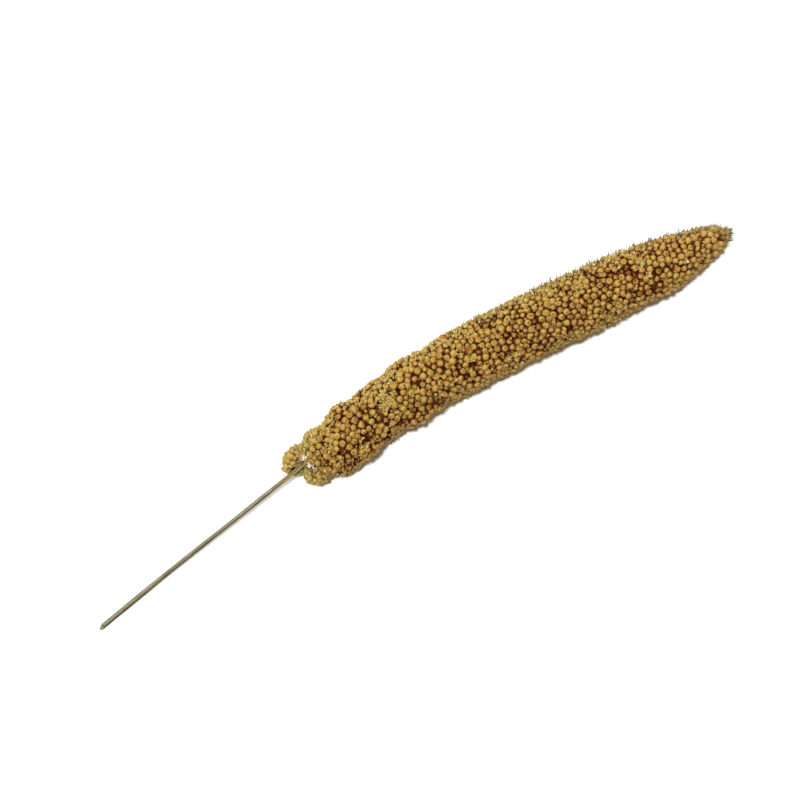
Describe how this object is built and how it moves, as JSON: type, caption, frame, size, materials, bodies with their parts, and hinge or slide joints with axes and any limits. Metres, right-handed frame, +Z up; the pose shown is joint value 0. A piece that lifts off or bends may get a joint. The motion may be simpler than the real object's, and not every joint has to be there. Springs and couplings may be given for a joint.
{
  "type": "millet seed head",
  "caption": "Dried foxtail millet head on a short cut stalk, lying on its side: a long slightly curved spike packed with small round golden grains.",
  "frame": {"origin": "middle of the bounding box, on the surface that the head lies on", "axes": "+X from the cut end of the stalk to the tip of the head, +Z up from the surface it lies on"},
  "size_m": [0.1954, 0.0224, 0.016],
  "materials": {
    "millet_grain": "dry ripe grain, matt with a faint waxy sheen",
    "dry_stalk": "dry ridged straw, satin"
  },
  "bodies": {
    "root": {"seed_head": "millet_grain", "stalk": "dry_stalk"}
  },
  "joints": []
}
